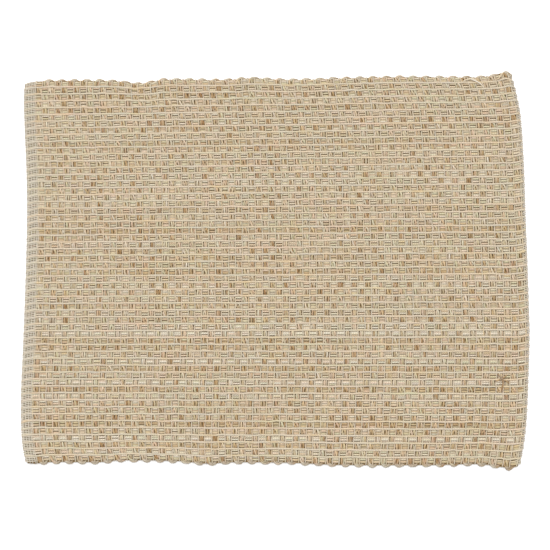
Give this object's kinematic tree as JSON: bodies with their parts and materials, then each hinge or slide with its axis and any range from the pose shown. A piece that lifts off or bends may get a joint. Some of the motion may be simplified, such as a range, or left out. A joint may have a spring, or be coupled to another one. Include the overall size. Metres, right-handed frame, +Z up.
{
  "type": "woven placemat",
  "caption": "Flat rectangular table mat of thick undyed cotton basket weave, with looped selvedges on its long sides and folded hems on its cut ends.",
  "frame": {"origin": "under the middle of the mat's outline, on the surface that it lies on", "axes": "+X along the mat's long side, towards the narrow hem; +Y towards the far selvedge; +Z up, out of the ribbed face"},
  "size_m": [0.4574, 0.3584, 0.0035],
  "materials": {
    "cotton_weave": "matt undyed cotton, heavy basket weave of cream and light brown yarns"
  },
  "bodies": {
    "root": {"placemat": "cotton_weave"}
  },
  "joints": []
}
